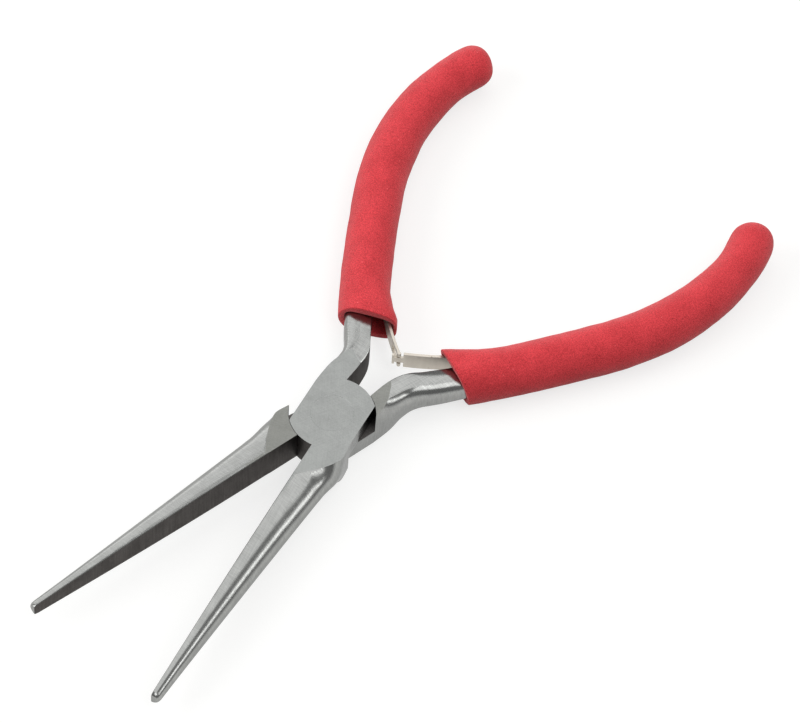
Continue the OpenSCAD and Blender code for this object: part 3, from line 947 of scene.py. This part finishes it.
def grip_mesh(name, handle, mouth, end, stretch, lean):
    """A foam sleeve: a lumpy skin, a cut lip and the bore that holds steel and spring."""
    steel, grip, spring = handle.steel, handle.grip, handle.spring
    # The least room over the leaf, beside its edges and past its foot.
    over_leaf, beside_leaf, past_foot = 0.95, 0.4, 2

    def radius(s):
        # The foam narrows over its last 30 mm, up to 8 mm from its end.
        r = ramp(s, (handle.length - 30, grip.grip_d / 2), (handle.length - 8, grip.grip_end_d / 2))
        # The steel stops here: the foam draws in a little past it and swells at its end.
        waist = math.exp(-(((s - (handle.length - 11)) / 3.5) ** 2))
        return r * (1 - 0.03 * waist)

    def bore_inner(s):
        root_cavity = spring.leaf_t + over_leaf
        return steel.tang_w / 2 + ramp(
            s,
            (grip.mouth_at - 4, 4.2),
            (grip.mouth_at, 3.3),
            (spring.root_at - 2, 2.3),
            (spring.root_at, root_cavity + spring.lift),
            (handle.pin_at - 2, root_cavity),
            (handle.foot_end + past_foot, root_cavity),
            (handle.foot_end + past_foot * 2, grip.gap),
            (handle.length, grip.gap),
        )

    def skin(s, angle):
        near_end = clamp01((s - end + grip.end_round) / grip.end_round)
        scale = 0.25 + 0.75 * (1 - near_end ** 2.3) ** (1 / 2.3)
        r, near_mouth = radius(s), clamp01((mouth + grip.flare - s) / grip.flare)
        inner = max(r + stretch * near_mouth ** 2.2, bore_inner(s) + grip.wall)
        outer = r - grip.pinch * near_mouth
        sizes = (inner * scale, outer * scale, r * scale)
        point = handle.ring_point(s, angle, *sizes, 2 + near_mouth, 2)
        lump = noise.noise(point * 0.16 + Vector((mouth, 0, 0))) + 0.5 * noise.noise(point * 0.45)
        centre = handle.middle(s)
        away = (point - Vector((centre.x, centre.y, 0))).normalized()
        return point + away * grip.lumps * (1 + 0.6 * near_end) * (lump - 0.6)

    def bore(s, angle):
        half_w = handle.half_w(s)
        outer = half_w + handle.tang_swelling(s) + grip.gap
        inner = max(bore_inner(s), half_w + handle.neck_swelling(s) + grip.gap)
        high, leaf_high = handle.half_h(s), spring.leaf_w / 2 + beside_leaf
        # Above the spring the bore is as high as the leaf needs, and lies close on the steel.
        if s < handle.foot_end + past_foot and high < leaf_high:
            high += (leaf_high - high) * clamp01((-math.cos(angle) - 0.25) / 0.25)
        high += grip.gap
        # The foam hugs the outer side of the steel, which is rounder on its slanted face.
        at_mouth = 3.4 if angle < math.pi else 2.2
        hug = ramp(s, (grip.mouth_at - 1, at_mouth), (grip.mouth_at + 3, 3.4))
        return handle.ring_point(s, angle, inner, outer, high, 4, hug)

    facing = Vector((-math.sin(grip.mouth_heading), math.cos(grip.mouth_heading), math.tan(lean)))
    facing.normalize()
    x, y = handle.middle(mouth)
    mouth_centre = Vector((x, y, 0))

    def first_station(surface, angle):
        """Where a surface's line at this angle comes up to the mouth's face, less the lip."""
        low, high = mouth - 8, mouth + 9
        for _ in range(24):
            middle = (low + high) / 2
            if (surface(middle, angle) - mouth_centre).dot(facing) < grip.lip:
                low = middle
            else:
                high = middle
        return (low + high) / 2

    angles = full_turn(96)
    skin_from = [first_station(skin, a) for a in angles]
    bore_from = [first_station(bore, a) for a in angles]

    def ring(surface, first, last, t):
        return [surface(s + (last - s) * t, a) for a, s in zip(angles, first)]

    # The bore, from its blind end out to the mouth.
    rings = [ring(bore, bore_from, handle.tang_len + 0.5, 1 - t) for t in spaced(0, 1, 1 / 44)]
    # The lip, rounded over from the bore to the skin.
    inside, outside = rings[-1], ring(skin, skin_from, end, 0)
    for t in (0.04, 0.12, 0.24, 0.38, 0.5, 0.62, 0.76, 0.88, 0.96):
        bulge = (1 - abs(2 * t - 1) ** 3) ** (1 / 3) * grip.lip
        rings.append([a.lerp(b, t) - facing * bulge for a, b in zip(inside, outside)])
    # The skin, from the mouth to the far end, closer set where it rounds over.
    reach = end - mouth
    to_end = (1.1, 0.9, 0.75, 0.6, 0.47, 0.35, 0.25, 0.16, 0.09, 0.04, 0.01, 0)
    stations = spaced(0, 1 - (grip.end_round + 1) / reach, 1 / 110)
    stations += [1 - r * grip.end_round / reach for r in to_end]
    rings += [ring(skin, skin_from, end, t) for t in stations]
    tip = rings[-1]
    centre = sum(tip, Vector()) / len(tip)
    for scale in (0.7, 0.35, 0.12):
        rings.append([centre + (p - centre) * scale for p in tip])
    # The rings run from the bore out to the skin, so turned round they face outwards.
    return loft(name, rings[::-1])


class PLIERS_OT_grips(bpy.types.Operator):
    """Build the two foam grips"""

    bl_idname = "pliers.grips"
    bl_label = "Foam Grips"

    def execute(self, context):
        handle = Handle(context.scene)
        grip = handle.grip
        for side, ahead, stretch, lean in (
            ("upper", grip.ahead, grip.upper_stretch, grip.upper_lean),
            ("lower", 0, grip.lower_stretch, -grip.lower_lean),
        ):
            mouth, end = grip.mouth_at - ahead - grip.forward, handle.length - ahead
            piece = grip_mesh(f"{side}_grip_foam", handle, mouth, end, stretch, lean)
            shade(piece, angle=60)
            piece.data.materials.append(material_of(context, foam_rubber))
            finish_piece(piece, side, f"{side}_grip")
        return {"FINISHED"}


def round_arc(first, last, turned_by, count):
    """Points on a round arc between two points that turns by the angle given."""
    chord = last - first
    heading = math.atan2(chord.y, chord.x) - turned_by / 2
    bit = chord.length * math.sin(turned_by / 2 / count) / math.sin(turned_by / 2)
    points = [first]
    for i in range(count):
        a = heading + turned_by * (i + 0.5) / count
        points.append(points[-1] + bit * Vector((math.cos(a), math.sin(a))))
    return points


def strip(name, points, width, thickness):
    """A flat strip bent along a line of points."""
    rings = []
    for i, p in enumerate(points):
        a, b = points[max(0, i - 1)], points[min(len(points) - 1, i + 1)]
        t = (b - a).normalized()
        side = Vector((-t.y, t.x)) * thickness / 2
        corners = ((p + side, 1), (p + side, -1), (p - side, -1), (p - side, 1))
        rings.append([(q.x, q.y, up * width / 2) for q, up in corners])
    return loft(name, rings)


def leaf_mesh(name, forked, handle):
    """A leaf: its foot, its bending line and its bowed blade in one strip, hooked at the end."""
    spring, root, meet = handle.spring, handle.root, handle.meet
    foot = []
    for s in spaced(handle.foot_end, spring.root_at, -0.5):
        away = clamp01((handle.pin_at - 2 - s) / (handle.pin_at - 2 - spring.root_at)) ** 2
        foot.append(handle.beside(s, handle.leaf_off - spring.lift * away))
    blade = round_arc(root, meet, spring.bow, 24)
    points = foot[:-2] + blade[1:]
    last = (blade[-1] - blade[-2]).normalized()
    if not forked:
        keep = [p for p in points if (p - meet).dot(last) < -spring.reach - 0.01]
        points = keep + [meet - last * spring.reach]
    leaf = strip(name, points, spring.leaf_w, spring.leaf_t)
    hook = Matrix.Rotation(math.atan2(last.y, last.x), 4, "Z")
    hook = Matrix.Translation((meet.x, meet.y, 0)) @ hook

    def at_hook(tool, operation):
        tool.data.transform(hook)
        combine(leaf, tool, operation)

    def block(x0, x1, half_y, half_z):
        outline = [(x0, -half_y), (x1, -half_y), (x1, half_y), (x0, half_y)]
        return prism("block", outline, -half_z, half_z)

    if forked:
        high, roll_r = spring.leaf_w / 2, spring.roll_r
        at_hook(turned("roll", [(roll_r, high), (roll_r, -high)], 32), "UNION")
        at_hook(block(-spring.fork_len, 2, 2, spring.slot_w / 2), "DIFFERENCE")
    else:
        half_t, reach = spring.leaf_t / 2, spring.reach
        # The tongue is a hair thinner than the blade, so that no two faces lie in one plane.
        at_hook(block(-reach - 0.3, reach + 0.3, half_t * 0.98, spring.tongue_w / 2), "UNION")
        at_hook(block(reach, reach + spring.head_len, half_t, spring.head_w / 2), "UNION")
    combine(leaf, foot_pin_cutter(handle), "DIFFERENCE")
    break_edges(leaf, width=0.07, angle=50)
    shade(leaf)
    return leaf


class PLIERS_OT_springs(bpy.types.Operator):
    """Build the two leaf springs, which bend where they leave their feet"""

    bl_idname = "pliers.springs"
    bl_label = "Leaf Springs"

    def execute(self, context):
        handle = Handle(context.scene)
        for kind, side in (("fork", "upper"), ("tongue", "lower")):
            leaf = leaf_mesh(f"{kind}_leaf_strip", kind == "fork", handle)
            leaf.data.materials.append(material_of(context, nickel_strip))
            put(leaf, side)
            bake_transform(leaf)
            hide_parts(f"{kind}_leaf", f"{kind}_leaf_foot")
        return {"FINISHED"}


def softbox(name, direction, width, height, radiance, target):
    """A soft light, 1 m from its target; radiance is the brightness of its face."""
    light = bpy.data.lights.new(name, "AREA")
    light.shape = "RECTANGLE"
    light.size, light.size_y = width, height
    light.energy = radiance * math.pi * width * height
    lamp = bpy.data.objects.new(name, light)
    away = Vector(direction).normalized()
    lamp.location = Vector(target) + away
    lamp.rotation_mode = "QUATERNION"
    lamp.rotation_quaternion = away.to_track_quat("Z", "Y")
    bpy.context.scene.collection.objects.link(lamp)


class PLIERS_OT_stage(bpy.types.Operator):
    """Set up the paper, the lights and the camera"""

    bl_idname = "pliers.stage"
    bl_label = "Stage"

    def execute(self, context):
        scene, stage = context.scene, context.scene.pliers_stage
        low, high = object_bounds()
        # The paper lies flat under the tool and curves up far from it.
        radii = (0.02, 0.4, 1.0, 2.0, 2.3, 2.5, 2.6)
        profile = list(zip(radii, (0, 0, 0, 0, 0.06, 0.2, 0.42)))
        paper = turned("studio_paper", profile, 96, last_cap=False)
        paper.location = (0, (low.y + high.y) / 2, low.z - 0.0002)
        shade(paper, angle=60)
        paper.data.materials.append(floor_paper(scene.pliers_finishes, stage.lift))
        paper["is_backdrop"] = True

        look = Vector((stage.look_x, stage.look_y, HALF_T / 1000))
        softbox("top_softbox", (-0.06, 0.42, 0.906), 0.8, 1.0, stage.key, look)
        softbox("strip_light", (0.518, 0.6555, 0.5495), 1.1, 0.2, stage.strip, look)
        softbox("side_softbox", (-0.845, 0.307, 0.44), 0.8, 1.0, stage.side, look)
        softbox("front_softbox", (0.5, -0.1, 0.86), 0.42, 0.5, stage.front, look)
        softbox("left_softbox", (-0.6, -0.62, 0.5), 0.8, 0.8, stage.left, look)

        world = bpy.data.worlds.new("studio")
        world.use_nodes = True
        tree = world.node_tree
        tree.nodes.clear()
        inputs = {"Color": (1, 1, 1, 1), "Strength": stage.fill}
        glow = add_node(tree, "Background", inputs)
        add_node(tree, "OutputWorld", {"Surface": glow})
        scene.world = world
        scene.view_settings.view_transform = "Standard"

        camera = bpy.data.cameras.new("camera")
        camera.lens = stage.lens
        camera.sensor_width = 36
        camera.clip_start, camera.clip_end = 0.05, 20
        eye = bpy.data.objects.new("camera", camera)
        scene.collection.objects.link(eye)
        # From the point looked at: round it, up from the floor, rolled, and back.
        eye.matrix_world = (
            Matrix.Translation(look)
            @ Matrix.Rotation(stage.azimuth, 4, "Z")
            @ Matrix.Rotation(math.pi / 2 - stage.elevation, 4, "X")
            @ Matrix.Rotation(stage.roll, 4, "Z")
            @ Matrix.Translation((0, 0, stage.distance))
        )
        scene.camera = eye
        return {"FINISHED"}


class PLIERS_PT_panel(bpy.types.Panel):
    """List the operators, and the sizes and colours that they use"""

    bl_idname = "PLIERS_PT_panel"
    bl_label = "Long-Nose Pliers"
    bl_space_type = "VIEW_3D"
    bl_region_type = "UI"
    bl_category = "Pliers"

    def draw(self, context):
        for operator in OPERATORS:
            self.layout.operator(operator.bl_idname)
        for name, group in GROUPS.items():
            box = self.layout.box()
            for prop in group.__annotations__:
                box.prop(getattr(context.scene, name), prop)


OPERATORS = (
    PLIERS_OT_halves,
    PLIERS_OT_rivets,
    PLIERS_OT_grips,
    PLIERS_OT_springs,
    PLIERS_OT_stage,
)


def register():
    for cls in (*GROUPS.values(), *OPERATORS, PLIERS_PT_panel):
        bpy.utils.register_class(cls)
    for name, group in GROUPS.items():
        setattr(bpy.types.Scene, name, bpy.props.PointerProperty(type=group))


def unregister():
    for name in GROUPS:
        delattr(bpy.types.Scene, name)
    for cls in (PLIERS_PT_panel, *reversed(OPERATORS), *reversed(GROUPS.values())):
        bpy.utils.unregister_class(cls)


def main():
    register()
    bpy.ops.pliers.halves()
    bpy.ops.pliers.rivets()
    bpy.ops.pliers.grips()
    bpy.ops.pliers.springs()
    bpy.ops.pliers.stage()


if __name__ == "__main__":
    main()
